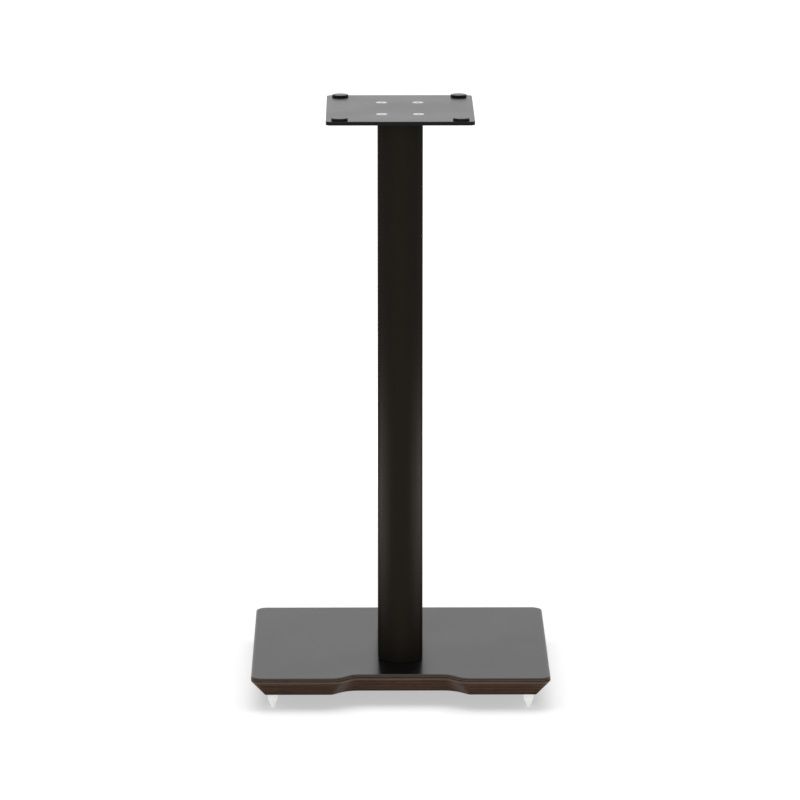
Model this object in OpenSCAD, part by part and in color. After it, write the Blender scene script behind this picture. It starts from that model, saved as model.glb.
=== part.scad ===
// Speaker stand: a thin top plate on an oval hollow column, over a sheet-topped plinth on four levelling spikes.
// Sizes are in millimetres. X is to the right, -Y is towards the viewer, and Z = 0 is at the spikes' tips.

/* [Stand] */
// Height of the top plate's upper face above the tips of the spikes
stand_h = 600; // [450:1:800]

/* [Top plate] */
// Width of the top plate
plate_w = 151; // [120:1:220]
// Depth of the top plate, front to back
plate_d = 179; // [170:1:240]
// Thickness of the top plate
plate_t = 4; // [3.5:0.5:8]
// Corner radius of the top plate
plate_corner_r = 5; // [2:0.5:12]

/* [Pads] */
// Diameter of a rubber pad
pad_dia = 17; // [10:0.5:20]
// Thickness of a rubber pad
pad_t = 2.4; // [1.6:0.1:5]
// Radius that rounds a pad's upper edge
pad_edge_r = 0.8; // [0.3:0.1:1.2]
// From the plate's side edge to a pad's centre
pad_inset_x = 14; // [11:0.5:20]
// From the plate's front or back edge to a pad's centre
pad_inset_y = 11.2; // [10.4:0.2:20]

/* [Column] */
// Width of the column, which is also the diameter of its round front and back
column_w = 46; // [42:1:60]
// Depth of the column, front to back
column_d = 166; // [140:1:170]
// Wall of the column's extrusion
column_wall = 2; // [1.5:0.1:3]
// From the column's side face to the centre of a screw port
port_inset = 4.25; // [4:0.05:6]
// Distance between the front and back screw ports
port_span = 78; // [50:1:90]
// Wall of metal round a screw port
port_wall = 1.6; // [1:0.1:2.2]

/* [Cable channel] */
// Width of the channel inside the column's back
channel_w = 16; // [12:0.5:18]
// Depth of the channel below its lips
channel_deep = 14; // [8:0.5:20]
// Width of the slot between the lips
mouth_w = 10; // [6:0.5:10]
// Thickness of the lips at the middle of the column's back
lip_t = 3; // [2.6:0.1:4]
// Open length of the channel above and below its cover
cover_window = 45; // [25:1:80]
// Thickness of the cover's inner flange
cover_flange_t = 1.2; // [0.8:0.1:2]
// How far the cover's flange reaches behind each lip
cover_hook = 1.6; // [0.6:0.1:2]

/* [Base] */
// Width of the base
base_w = 306; // [240:1:400]
// Depth of the base, front to back
base_d = 296; // [240:1:400]
// Corner radius of the base
base_corner_r = 12; // [4:0.5:30]
// Thickness of the steel sheet on the plinth
sheet_t = 2; // [1:0.5:4]
// Height of the plinth's upright edge
edge_h = 3; // [2:0.5:8]
// Height of the plinth's bevel
bevel_h = 16; // [14:0.5:20]
// How far the bevel runs inwards
bevel_in = 14.5; // [13:0.5:18]
// Radius left on the plinth's sharpest corners
corner_ease = 1; // [0.5:0.1:2]

/* [Front notch] */
// Width of the notch's straight back edge
notch_w = 96; // [60:1:140]
// Depth of the notch in the front edge
notch_deep = 16; // [12:0.5:24]
// Angle of the notch's slanted ends to the front edge, in degrees
notch_slope = 45; // [40:1:50]
// Radius where the slanted ends meet the notch's back edge
notch_inner_r = 12; // [6:0.5:12]
// Radius where the slanted ends meet the front edge
notch_outer_r = 20; // [10:0.5:20]

/* [Screws and bolts] */
// Diameter of the screws, the bolts and the spikes' studs
thread_dia = 6; // [5:0.5:6.5]
// Diameter of a countersunk screw's head
screw_head_dia = 11.7; // [10:0.1:12]
// Length of a countersunk screw
screw_l = 20; // [14:1:40]
// Width across flats of a countersunk screw's socket
screw_socket = 4; // [3:0.5:5]
// Depth of a countersunk screw's socket
screw_socket_deep = 1.8; // [1:0.1:2.2]
// Length of a bolt below its head
bolt_l = 30; // [25:1:50]
// Diameter of a bolt's head
bolt_head_dia = 10; // [9:0.1:11]
// Height of a bolt's head
bolt_head_h = 6; // [4:0.1:7]
// Width across flats of a bolt's socket
bolt_socket = 5; // [4:0.5:6]
// Depth of a bolt's socket
bolt_socket_deep = 3; // [1.5:0.1:3.5]
// Diameter of a bolt's washer
washer_dia = 12.5; // [11.5:0.1:14]
// Thickness of a bolt's washer
washer_t = 1.6; // [1:0.1:2]
// Depth of the plinth's recess for a bolt's head and washer
recess_deep = 9; // [8:0.5:10]

/* [Levelling spikes] */
// Height of the plinth's underside above the tips of the spikes
foot_gap = 14.5; // [13:0.5:20]
// From the underside's side edge to a spike's centre
spike_inset_x = 7.5; // [6:0.5:20]
// From the underside's front or back edge to a spike's centre
spike_inset_y = 8.5; // [6:0.5:20]
// Diameter of a spike's collar at its top
collar_dia = 10; // [9.8:0.1:10.4]
// Diameter of a spike's collar at its foot
collar_foot_dia = 9.6; // [9:0.1:9.8]
// Height of a spike's collar
collar_h = 4; // [3:0.5:6]
// Diameter of a spike's cone where it leaves the collar
cone_dia = 8.8; // [6:0.1:9]
// Diameter of the blunt tip
tip_dia = 2.6; // [1.5:0.1:3]
// Width across flats of a locknut
nut_flats = 10; // [9:0.5:10]
// Thickness of a locknut
nut_h = 3.2; // [2.4:0.1:4]
// Outer diameter of a threaded insert
insert_dia = 8.6; // [8:0.1:9]
// Length of a threaded insert
insert_l = 13; // [8:0.5:13]

/* [Fits] */
// Radial gap between a thread and what it turns in
thread_gap = 0.05; // [0.03:0.01:0.08]
// Radial gap between a screw or bolt and the hole that it passes through
hole_gap = 0.3; // [0.2:0.05:0.5]
// Gap round a part that is seated in another
seat_gap = 0.1; // [0.05:0.05:0.2]

/* [Hidden] */

// The corners of the stand as seen from the front
front_left = [-1, -1];
front_right = [1, -1];
rear_left = [-1, 1];
rear_right = [1, 1];
CORNERS = [front_left, front_right, rear_left, rear_right];

// Segments of a full circle, of the plinth's small arcs and of a hexagon
$fn = 96;
arc_steps = 9;
hexagon = 6;

// How far a cut runs past the face that it starts from
overrun = 1;

// Levels, from the tips of the spikes upwards
plinth_h = edge_h + bevel_h;
plinth_top = foot_gap + plinth_h;
sheet_top = plinth_top + sheet_t;
plate_bottom = stand_h - plate_t;
column_h = plate_bottom - sheet_top;
bolt_seat = foot_gap + recess_deep;
nut_bottom = foot_gap - nut_h;
cone_h = nut_bottom - collar_h;

// Places of the screw ports, the spikes and the pads in one quarter of the stand, mirrored to the others
port_place = [column_w / 2 - port_inset, port_span / 2];
spike_place = [base_w / 2 - bevel_in - spike_inset_x, base_d / 2 - bevel_in - spike_inset_y];
pad_place = [plate_w / 2 - pad_inset_x, plate_d / 2 - pad_inset_y];

// Radii of threads and of the holes that they sit in or pass through
thread_r = thread_dia / 2;
tapped_r = thread_r + thread_gap;
through_r = thread_r + hole_gap;

// The stud of a spike ends short of the blind hole's end, and wood is left above the hole
wood_over_hole = 2.2;
stud_room = 1;
stud_end_bevel = 0.6;
stud_top = plinth_top - wood_over_hole - stud_room;

// Lines of the cable channel, measured along Y
back_y = column_d / 2;
lip_y = back_y - lip_t;
channel_y = lip_y - channel_deep;

// Bevels on the corners of the nuts and on the edges of the bolts' heads
nut_bevel = 0.5;
head_bevel = 0.4;

// A vector turned by an angle, and a vector of length one
function turned(v, a) = [v.x * cos(a) - v.y * sin(a), v.x * sin(a) + v.y * cos(a)];
function unit(v) = v / norm(v);

// An arc of radius r that rounds the corner p between the directions u and v
function corner_arc(p, u, v, r) =
    let (
        turn = atan2(u.x * v.y - u.y * v.x, u * v),
        start = p - u * r * tan(abs(turn) / 2),
        centre = start + sign(turn) * r * [-u.y, u.x]
    )
    [for (i = [0:arc_steps]) centre + turned(start - centre, turn * i / arc_steps)];

// A closed outline whose corners are rounded, each with its own radius
function rounded_outline(points, radii) =
    let (n = len(points))
    [
        for (i = [0:n - 1])
            let (before = points[(i + n - 1) % n], after = points[(i + 1) % n])
            each corner_arc(points[i], unit(points[i] - before), unit(after - points[i]), radii[i])
    ];

// The base's plan, drawn in by an inset on every side: outer corners tighten, the notch's inner ones widen
function base_outline(inset) =
    let (
        x = base_w / 2 - inset,
        y = base_d / 2 - inset,
        shift = inset * tan(notch_slope / 2),
        flat_x = notch_w / 2 + shift,
        open_x = notch_w / 2 + notch_deep / tan(notch_slope) + shift,
        corner = max(base_corner_r - inset, corner_ease),
        outer = max(notch_outer_r - inset, corner_ease),
        inner = notch_inner_r + inset
    )
    rounded_outline(
        [
            [-x, -y], [-open_x, -y], [-flat_x, notch_deep - y], [flat_x, notch_deep - y], [open_x, -y],
            [x, -y], [x, y], [-x, y],
        ],
        [corner, outer, inner, inner, outer, corner, corner, corner]
    );

// Puts a piece at each screw port of the column
module at_ports() {
    for (corner = CORNERS)
        translate([corner.x * port_place.x, corner.y * port_place.y, 0])
            children();
}

// Puts a piece at one corner, over a spike
module at_spike(corner) {
    translate([corner.x * spike_place.x, corner.y * spike_place.y, 0])
        children();
}

// A flat plate with round corners
module rounded_plate(w, d, r, t) {
    linear_extrude(t) {
        square([w - 2 * r, d], center = true);
        square([w, d - 2 * r], center = true);
        for (corner = CORNERS)
            translate([corner.x * (w / 2 - r), corner.y * (d / 2 - r)])
                circle(r);
    }
}

// An oval with straight sides and half-round ends
module oval(w, d) {
    square([w, d - w], center = true);
    for (end = [-1, 1])
        translate([0, end * (d - w) / 2])
            circle(d = w);
}

// A hexagonal prism with two of its flats facing left and right
module hex_prism(flats, h) {
    rotate(180 / hexagon)
        cylinder(h = h, d = flats / cos(180 / hexagon), $fn = hexagon);
}

// The top plate, countersunk for the four screws
module top_plate() {
    head_r = screw_head_dia / 2 + seat_gap;
    color("#1b1a19")
        difference() {
            translate([0, 0, plate_bottom])
                rounded_plate(plate_w, plate_d, plate_corner_r, plate_t);
            at_ports() {
                translate([0, 0, plate_bottom - overrun])
                    cylinder(h = plate_t + 2 * overrun, r = through_r);
                translate([0, 0, stand_h - head_r])
                    cylinder(h = head_r + overrun, r1 = 0, r2 = head_r + overrun);
            }
        }
}

// A round rubber pad with a rounded upper edge, near one corner of the plate
module pad_at(corner) {
    color("#141414")
        translate([corner.x * pad_place.x, corner.y * pad_place.y, stand_h])
            rotate_extrude() {
                square([pad_dia / 2, pad_t - pad_edge_r]);
                square([pad_dia / 2 - pad_edge_r, pad_t]);
                translate([pad_dia / 2 - pad_edge_r, pad_t - pad_edge_r])
                    intersection() {
                        circle(pad_edge_r);
                        square(pad_edge_r);
                    }
            }
}

module pad_front_left() {
    pad_at(front_left);
}

module pad_front_right() {
    pad_at(front_right);
}

module pad_rear_left() {
    pad_at(rear_left);
}

module pad_rear_right() {
    pad_at(rear_right);
}

// The four countersunk screws that hold the top plate on the column, each with a hexagonal socket
module top_screws() {
    head_r = screw_head_dia / 2;
    color("#d6d6d4")
        at_ports()
            difference() {
                translate([0, 0, stand_h])
                    rotate_extrude()
                        polygon([
                            [0, 0], [head_r, 0], [thread_r, thread_r - head_r], [thread_r, stud_end_bevel - screw_l],
                            [thread_r - stud_end_bevel, -screw_l], [0, -screw_l],
                        ]);
                translate([0, 0, stand_h - screw_socket_deep])
                    hex_prism(screw_socket, screw_socket_deep + overrun);
            }
}

// The section of the column: an oval tube with four screw ports and a lipped cable channel in its back
module column_section() {
    difference() {
        oval(column_w, column_d);
        difference() {
            oval(column_w - 2 * column_wall, column_d - 2 * column_wall);
            at_ports()
                circle(tapped_r + port_wall);
            translate([-channel_w / 2 - column_wall, channel_y - column_wall])
                square([channel_w + 2 * column_wall, channel_deep + lip_t + column_wall]);
        }
        at_ports()
            circle(tapped_r);
        translate([-channel_w / 2, channel_y])
            square([channel_w, channel_deep]);
        translate([-mouth_w / 2, lip_y - overrun])
            square([mouth_w, lip_t + 2 * overrun]);
    }
}

// The extruded column
module column() {
    color("#211e1b")
        translate([0, 0, sheet_top])
            linear_extrude(column_h)
                column_section();
}

// The strip that closes the cable channel, flush with the column's round back and hooked behind the lips
module cable_cover() {
    neck_w = mouth_w - 2 * seat_gap;
    flange_w = mouth_w + 2 * cover_hook;
    flange_y = lip_y - seat_gap - cover_flange_t;
    color("#191817")
        translate([0, 0, sheet_top + cover_window])
            linear_extrude(column_h - 2 * cover_window) {
                intersection() {
                    oval(column_w, column_d);
                    translate([-neck_w / 2, flange_y])
                        square([neck_w, back_y - flange_y]);
                }
                translate([-flange_w / 2, flange_y])
                    square([flange_w, cover_flange_t]);
            }
}

// The steel sheet that covers the plinth
module base_plate() {
    color("#1b1a19")
        difference() {
            translate([0, 0, plinth_top])
                linear_extrude(sheet_t)
                    polygon(base_outline(0));
            at_ports()
                translate([0, 0, plinth_top - overrun])
                    cylinder(h = sheet_t + 2 * overrun, r = through_r);
        }
}

// The plinth's body: rings of the base's plan, stacked from the narrow underside up to the full upper face.
// Each end is a fan of triangles round its middle, which sees every point of the plan in spite of the notch.
module plinth_body() {
    tight = min(base_corner_r, bevel_in) - corner_ease;
    bevel_top = foot_gap + bevel_h;
    rings = [
        [bevel_in, foot_gap], [tight, bevel_top - tight * bevel_h / bevel_in], [0, bevel_top], [0, plinth_top],
    ];
    n = len(base_outline(0));
    last = (len(rings) - 1) * n;
    low_middle = last + n;
    high_middle = low_middle + 1;
    polyhedron(
        points = [
            for (ring = rings, p = base_outline(ring[0])) [p.x, p.y, ring[1]],
            [0, 0, foot_gap],
            [0, 0, plinth_top],
        ],
        faces = [
            for (i = [0:n - 1]) [low_middle, i, (i + 1) % n],
            for (k = [0:n:last - n], i = [0:n - 1])
                let (next = (i + 1) % n)
                [k + i, k + n + i, k + n + next, k + next],
            for (i = [0:n - 1]) [high_middle, last + (i + 1) % n, last + i],
        ],
        convexity = 4
    );
}

// The walnut plinth, bored for the column's bolts and for the threaded inserts of the spikes
module plinth() {
    color("#4a3327")
        difference() {
            plinth_body();
            at_ports() {
                translate([0, 0, foot_gap - overrun])
                    cylinder(h = plinth_h + 2 * overrun, r = through_r);
                translate([0, 0, foot_gap - overrun])
                    cylinder(h = recess_deep + overrun, r = washer_dia / 2 + hole_gap);
            }
            for (corner = CORNERS)
                at_spike(corner)
                    translate([0, 0, foot_gap - overrun]) {
                        cylinder(h = insert_l + overrun, r = insert_dia / 2 + thread_gap);
                        cylinder(h = plinth_h - wood_over_hole + overrun, r = through_r);
                    }
        }
}

// The four bolts that clamp the plinth and the sheet to the column from below
module column_bolts() {
    head_r = bolt_head_dia / 2;
    head_top = bolt_seat - washer_t;
    head_bottom = head_top - bolt_head_h;
    bolt_top = head_top + bolt_l;
    color("#8d8d8c")
        at_ports()
            difference() {
                rotate_extrude()
                    polygon([
                        [0, head_bottom], [head_r - head_bevel, head_bottom], [head_r, head_bottom + head_bevel],
                        [head_r, head_top], [thread_r, head_top], [thread_r, bolt_top - stud_end_bevel],
                        [thread_r - stud_end_bevel, bolt_top], [0, bolt_top],
                    ]);
                translate([0, 0, head_bottom - overrun])
                    hex_prism(bolt_socket, bolt_socket_deep + overrun);
            }
}

// The washers under the bolts' heads
module bolt_washers() {
    color("#a5a5a3")
        at_ports()
            translate([0, 0, bolt_seat - washer_t])
                difference() {
                    cylinder(h = washer_t, d = washer_dia);
                    translate([0, 0, -overrun])
                        cylinder(h = washer_t + 2 * overrun, r = through_r);
                }
}

// A threaded insert in the plinth, flush with its underside
module insert_at(corner) {
    color("#b3a06a")
        at_spike(corner)
            translate([0, 0, foot_gap])
                difference() {
                    cylinder(h = insert_l, d = insert_dia);
                    translate([0, 0, -overrun])
                        cylinder(h = insert_l + 2 * overrun, r = tapped_r);
                }
}

module insert_front_left() {
    insert_at(front_left);
}

module insert_front_right() {
    insert_at(front_right);
}

module insert_rear_left() {
    insert_at(rear_left);
}

module insert_rear_right() {
    insert_at(rear_right);
}

// A thin hexagonal locknut, tight against the plinth's underside, with its corners bevelled at both ends
module locknut_at(corner) {
    corner_r = nut_flats / 2 / cos(180 / hexagon);
    color("#dededc")
        at_spike(corner)
            translate([0, 0, nut_bottom])
                difference() {
                    intersection() {
                        hex_prism(nut_flats, nut_h);
                        rotate_extrude()
                            polygon([
                                [0, 0], [corner_r - nut_bevel, 0], [corner_r, nut_bevel],
                                [corner_r, nut_h - nut_bevel], [corner_r - nut_bevel, nut_h], [0, nut_h],
                            ]);
                    }
                    translate([0, 0, -overrun])
                        cylinder(h = nut_h + 2 * overrun, r = tapped_r);
                }
}

module locknut_front_left() {
    locknut_at(front_left);
}

module locknut_front_right() {
    locknut_at(front_right);
}

module locknut_rear_left() {
    locknut_at(rear_left);
}

module locknut_rear_right() {
    locknut_at(rear_right);
}

// A levelling spike: a blunt cone, a tapered collar, and the stud that screws up into the insert
module spike_at(corner) {
    color("#e2e2e0")
        at_spike(corner)
            rotate_extrude()
                polygon([
                    [0, 0], [tip_dia / 2, 0], [cone_dia / 2, cone_h], [collar_foot_dia / 2, cone_h],
                    [collar_dia / 2, nut_bottom], [thread_r, nut_bottom], [thread_r, stud_top - stud_end_bevel],
                    [thread_r - stud_end_bevel, stud_top], [0, stud_top],
                ]);
}

module spike_front_left() {
    spike_at(front_left);
}

module spike_front_right() {
    spike_at(front_right);
}

module spike_rear_left() {
    spike_at(rear_left);
}

module spike_rear_right() {
    spike_at(rear_right);
}

top_plate();
pad_front_left();
pad_front_right();
pad_rear_left();
pad_rear_right();
top_screws();
column();
cable_cover();
base_plate();
plinth();
column_bolts();
bolt_washers();
insert_front_left();
insert_front_right();
insert_rear_left();
insert_rear_right();
locknut_front_left();
locknut_front_right();
locknut_rear_left();
locknut_rear_right();
spike_front_left();
spike_front_right();
spike_rear_left();
spike_rear_right();
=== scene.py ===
# %% [markdown]
# # A speaker stand in steel, aluminium, rubber and walnut
#
# The construction model gives every part its place and size. This script gives the parts their finished
# surfaces: eased edges, threads, sockets, wood grain and satin coats. Nearly every part is a surface
# worked out with numpy and placed from the construction model's own boxes, so nothing is set down by eye.

# %% Load the construction model
from math import cos, pi, radians, sin, tan

import bmesh
import bpy
import numpy as np
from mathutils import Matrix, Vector


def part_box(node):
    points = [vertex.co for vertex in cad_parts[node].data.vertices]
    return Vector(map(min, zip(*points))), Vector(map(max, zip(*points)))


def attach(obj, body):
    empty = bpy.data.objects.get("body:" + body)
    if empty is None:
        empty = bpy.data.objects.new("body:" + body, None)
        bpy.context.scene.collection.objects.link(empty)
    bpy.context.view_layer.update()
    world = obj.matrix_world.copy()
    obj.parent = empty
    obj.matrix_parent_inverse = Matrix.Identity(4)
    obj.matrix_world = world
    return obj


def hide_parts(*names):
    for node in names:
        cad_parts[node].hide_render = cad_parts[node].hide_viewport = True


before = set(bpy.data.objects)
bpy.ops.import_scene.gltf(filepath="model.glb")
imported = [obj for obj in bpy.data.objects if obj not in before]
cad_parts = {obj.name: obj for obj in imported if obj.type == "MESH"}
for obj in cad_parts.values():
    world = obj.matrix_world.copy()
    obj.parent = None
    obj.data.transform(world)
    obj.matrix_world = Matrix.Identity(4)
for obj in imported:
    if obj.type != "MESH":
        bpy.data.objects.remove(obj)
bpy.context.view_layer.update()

MM = 0.001

# %% [markdown]
# ## Camera
#
# The stand was photographed with a long lens from a little above the top plate, so its upright lines stay
# nearly parallel and both horizontal faces show as thin slivers. The distance, height and lens come from
# the widths of the base and the plate at their front and back edges. A small turn to the right keeps the
# stand in the middle. A camera can also be made to track a point, but a pitch and a turn in degrees say
# plainly how the picture was taken.

# %% Camera
CAMERA_PLACE = (-0.034, -5.3176, 1.4247)
CAMERA_PITCH = radians(12)
CAMERA_TURN = radians(-0.3675)
LENS_MM = 236.03
SENSOR_MM = 36.0

camera_data = bpy.data.cameras.new("camera")
camera_data.lens = LENS_MM
camera_data.sensor_width = SENSOR_MM
camera = bpy.data.objects.new("camera", camera_data)
camera.location = CAMERA_PLACE
camera.rotation_euler = (pi / 2 - CAMERA_PITCH, 0, CAMERA_TURN)
bpy.context.scene.collection.objects.link(camera)
bpy.context.scene.camera = camera
bpy.context.scene.view_settings.view_transform = "Standard"
print("camera", CAMERA_PLACE, "lens", LENS_MM, "mm")

# %% [markdown]
# ## Node helpers
#
# Every finish below is a small graph of nodes. One helper makes a node, sets its options and fills its
# sockets, and a socket takes either a plain value or another node's output, so a graph reads from top to
# bottom like a recipe. Two more tell which rays meet a surface, for the white of the studio.


# %% Node helpers
def add_node(tree, kind, sockets=None, **settings):
    """Adds a node to a tree. A socket's entry is a value to set, or an output to link."""
    node = tree.nodes.new("ShaderNode" + kind)
    for name, value in settings.items():
        setattr(node, name, value)
    for name, value in (sockets or {}).items():
        if isinstance(value, bpy.types.NodeSocket):
            tree.links.new(value, node.inputs[name])
        else:
            node.inputs[name].default_value = value
    return node


def seen_by_camera(tree):
    """An output that is 1 for rays from the camera and 0 for all others."""
    return add_node(tree, "LightPath").outputs["Is Camera Ray"]


def seen_in_mirror(tree):
    """An output that is 1 for rays off gloss or through glass and 0 for all others."""
    path = add_node(tree, "LightPath").outputs
    rays = {0: path["Is Glossy Ray"], 1: path["Is Transmission Ray"]}
    return add_node(tree, "Math", rays, operation="ADD", use_clamp=True).outputs[0]


print("node helpers:", [helper.__name__ for helper in (add_node, seen_by_camera, seen_in_mirror)])

# %% [markdown]
# ## Studio
#
# The photograph is a product shot on white: a wide soft light from above, no hard shadow, and a soft grey
# patch of shadow under the base. The world is white where it is seen and dimmer as a light. To the
# camera, the floor gives part of its white by itself and the rest from the light that falls on it, so the
# shadow under the base stays a light grey. Away from the stand its own white rises until it is full, so
# the floor meets the world without a line. Metal and gloss mirror it as plain white. Stronger lamps could
# whiten the floor too, but they would bleach the stand.

# %% World and floor
WHITE = (1, 1, 1, 1)
FULL = 1.0
WORLD_LIGHT = 0.3
FLOOR_GLOW = 0.50
FLOOR_TONE = 0.52
FLOOR_BOUNCE = 0.75
FLOOR_HALF = 14.0
SHADOW_REACH = 0.45
WHITE_REACH = 1.1

world = bpy.data.worlds.new("studio")
world.use_nodes = True
bpy.context.scene.world = world
tree = world.node_tree
tree.nodes.clear()
seen_at_all = {0: seen_by_camera(tree), 1: seen_in_mirror(tree)}
seen = add_node(tree, "Math", seen_at_all, operation="ADD").outputs[0]
level = add_node(tree, "Mix", {"Factor": seen, "A": WORLD_LIGHT, "B": FULL}, data_type="FLOAT")
sky = add_node(tree, "Background", {"Color": WHITE, "Strength": level.outputs[0]})
add_node(tree, "OutputWorld", {"Surface": sky.outputs[0]})

floor_paint = bpy.data.materials.new("floor_paint")
floor_paint.use_nodes = True
tree = floor_paint.node_tree
tree.nodes.clear()
seen = seen_by_camera(tree)
tone = add_node(tree, "Mix", {"Factor": seen, "A": FLOOR_BOUNCE, "B": FLOOR_TONE}, data_type="FLOAT")
place = add_node(tree, "TexCoord").outputs["Object"]
reach = add_node(tree, "VectorMath", {0: place}, operation="LENGTH").outputs["Value"]
rise = {"From Min": SHADOW_REACH, "From Max": WHITE_REACH, "To Min": FLOOR_GLOW, "To Max": FULL}
own_white = add_node(tree, "MapRange", {"Value": reach, **rise})
glow = add_node(tree, "Math", {0: seen, 1: own_white.outputs[0]}, operation="MULTIPLY")
lit = add_node(tree, "BsdfDiffuse", {"Color": tone.outputs[0]})
glowing = add_node(tree, "Emission", {"Color": WHITE, "Strength": glow.outputs[0]})
both = add_node(tree, "AddShader", {0: lit.outputs[0], 1: glowing.outputs[0]})
white = add_node(tree, "Emission", {"Color": WHITE, "Strength": FULL})
shown = add_node(tree, "MixShader", {0: seen_in_mirror(tree), 1: both.outputs[0], 2: white.outputs[0]})
add_node(tree, "OutputMaterial", {"Surface": shown.outputs[0]})

floor_corners = [(x * FLOOR_HALF, y * FLOOR_HALF, 0) for x, y in ((-1, -1), (1, -1), (1, 1), (-1, 1))]
floor_mesh = bpy.data.meshes.new("floor")
floor_mesh.from_pydata(floor_corners, [], [(0, 1, 2, 3)])
floor_mesh.materials.append(floor_paint)
floor = bpy.data.objects.new("floor", floor_mesh)
bpy.context.scene.collection.objects.link(floor)
print("floor", 2 * FLOOR_HALF, "m across")

# %% [markdown]
# ## Lamps
#
# One wide soft box overhead gives nearly all the light. It is far larger than the stand, so no edge
# throws a hard shadow, and it isn't mirrored, so bright metal shows the white of the studio and no glare.
# Three weak strips lie low along each side, aimed a little upwards. They give the lower half of the
# column its brighter edges, and they lie too low to be mirrored in the flat black faces.

# %% Lamps
def soft_box(name, place, aim, size, beam, watts, mirrored):
    """An area lamp aimed at a point: sizes in metres, beam in degrees, and mirrored in gloss or not."""
    data = bpy.data.lights.new(name, "AREA")
    data.shape = "RECTANGLE"
    data.size, data.size_y = size
    data.energy = watts
    data.spread = radians(beam)
    lamp = bpy.data.objects.new(name, data)
    lamp.location = place
    lamp.rotation_euler = (Vector(aim) - Vector(place)).to_track_quat("-Z", "Y").to_euler()
    lamp.visible_glossy = mirrored
    bpy.context.scene.collection.objects.link(lamp)


OVERHEAD_PLACE = (0, -0.1, 2.6)
OVERHEAD_AIM = (0, 0, 0.3)
OVERHEAD_SIZE = (2.8, 2.8)
OVERHEAD_BEAM = 180
OVERHEAD_WATTS = 80
SIDE_TURNS = (-15, 12, 39)
SIDE_WAY = 0.7
SIDE_Z = 0.045
SIDE_AIM_Z = 0.205
SIDE_BEAM = 29
SIDE_WATTS = 0.046
SIDE_SIZE = (0.45, 0.08)

soft_box("overhead", OVERHEAD_PLACE, OVERHEAD_AIM, OVERHEAD_SIZE, OVERHEAD_BEAM, OVERHEAD_WATTS, False)
for side, side_name in ((-1, "left"), (1, "right")):
    for turn in SIDE_TURNS:
        place = (side * SIDE_WAY * cos(radians(turn)), SIDE_WAY * sin(radians(turn)), SIDE_Z)
        soft_box(f"{side_name}_{turn}", place, (0, 0, SIDE_AIM_Z), SIDE_SIZE, SIDE_BEAM, SIDE_WATTS, True)

# %% [markdown]
# ## Shapes from rings
#
# Nearly every part of the stand is either turned on a lathe or is a plan carried up along a profile. Both
# are the same thing in numpy: a stack of rings with the same number of points each. Modifiers could turn
# and bevel these parts, but rings give each edge a rounding of its own. Four numbers describe a point:
# its place, and how much it belongs to an eased edge. The finishes use that to show a little wear there,
# and on some edges of the coat and the wood a painted highlight, and a painted shade where it is below
# zero.


# %% Paths with rounded corners
EASE_STEPS = 4
FADE_SHARE = 0.4


def arc_points(centre, radius, first, last, steps):
    """Points on a circle from one angle to another, in degrees: centre + radius * (cos, sin)."""
    angles = np.radians(np.linspace(first, last, steps + 1))
    return np.stack([centre[0] + radius * np.cos(angles), centre[1] + radius * np.sin(angles)], axis=1)


def corner_arcs(points, radii, steps):
    """Replaces each corner of a closed path by an arc that touches both of its sides.

    The path arrives at a corner along u and leaves along v. The arc starts radius * tan(turn / 2) before
    the corner, its centre lies one radius to the side that the path turns to, and its points are the start
    turned about that centre in equal steps. The result has steps + 1 points for each corner.
    """
    points = np.asarray(points, float)
    radii = np.asarray(radii, float)[:, None]
    u = points - np.roll(points, 1, axis=0)
    u /= np.linalg.norm(u, axis=1, keepdims=True)
    v = np.roll(u, -1, axis=0)
    turn = np.arctan2(u[:, 0] * v[:, 1] - u[:, 1] * v[:, 0], (u * v).sum(axis=1))[:, None]
    left = np.stack([-u[:, 1], u[:, 0]], axis=1)
    start = points - u * radii * np.tan(np.abs(turn) / 2)
    centre = start + np.sign(turn) * radii * left
    arm = (start - centre)[:, None, :]
    swept = turn * np.linspace(0, 1, steps + 1)
    c, s = np.cos(swept)[..., None], np.sin(swept)[..., None]
    sideways = np.stack([-arm[..., 1], arm[..., 0]], axis=-1)
    return centre[:, None, :] + arm * c + sideways * s


def faded(end, neighbour, radius):
    """Where an edge mark has faded out: one radius past the arc, or FADE_SHARE of the way if that is
    nearer.
    """
    way = neighbour - end
    return end + min(FADE_SHARE, radius / np.linalg.norm(way)) * way


def eased_profile(points, radii, steps=EASE_STEPS, worn_and_painted_light=None):
    """An open profile with rounded corners, as rows of across, height and edge mark.

    The mark is 1 on an eased corner, or as given, and fades to 0 on either side of it. It marks rubbing,
    painted highlights and painted shade.
    """
    arcs = corner_arcs(points, radii, steps)
    worn_and_painted_light = worn_and_painted_light or [float(radius > 0) for radius in radii]
    arcs[0], arcs[-1] = points[0], points[-1]
    rows = [[*points[0], 0.0]]
    for k in range(1, len(points) - 1):
        if radii[k] == 0:
            rows.append([*arcs[k, 0], 0.0])
            continue
        rows.append([*faded(arcs[k, 0], arcs[k - 1, -1], radii[k]), 0.0])
        rows.extend([*p, worn_and_painted_light[k]] for p in arcs[k])
        rows.append([*faded(arcs[k, -1], arcs[k + 1, 0], radii[k]), 0.0])
    rows.append([*points[-1], 0.0])
    return np.array(rows)


square = corner_arcs([(0, 0), (1, 0), (1, 1), (0, 1)], [0.1] * 4, EASE_STEPS)
print("a rounded square has", square.shape[0] * square.shape[1], "points")

# %% [markdown]
# ## Turned and carried surfaces
#
# A lathe surface has a radius for every angle and height. Where the radius is the same all round it is a
# plain turned form, and where it varies with the angle it becomes a hexagon, a thread or a knurl. A
# carried surface repeats a plan at each height of a profile, drawn in by the profile's inset.

# %% Turned and carried surfaces
AROUND = 96
CREST_END = 2 / 15
ROOT_START = 0.8


def ring_angles(around):
    """Equal angles round a full turn."""
    return np.linspace(0, 2 * pi, around, endpoint=False)


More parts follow.
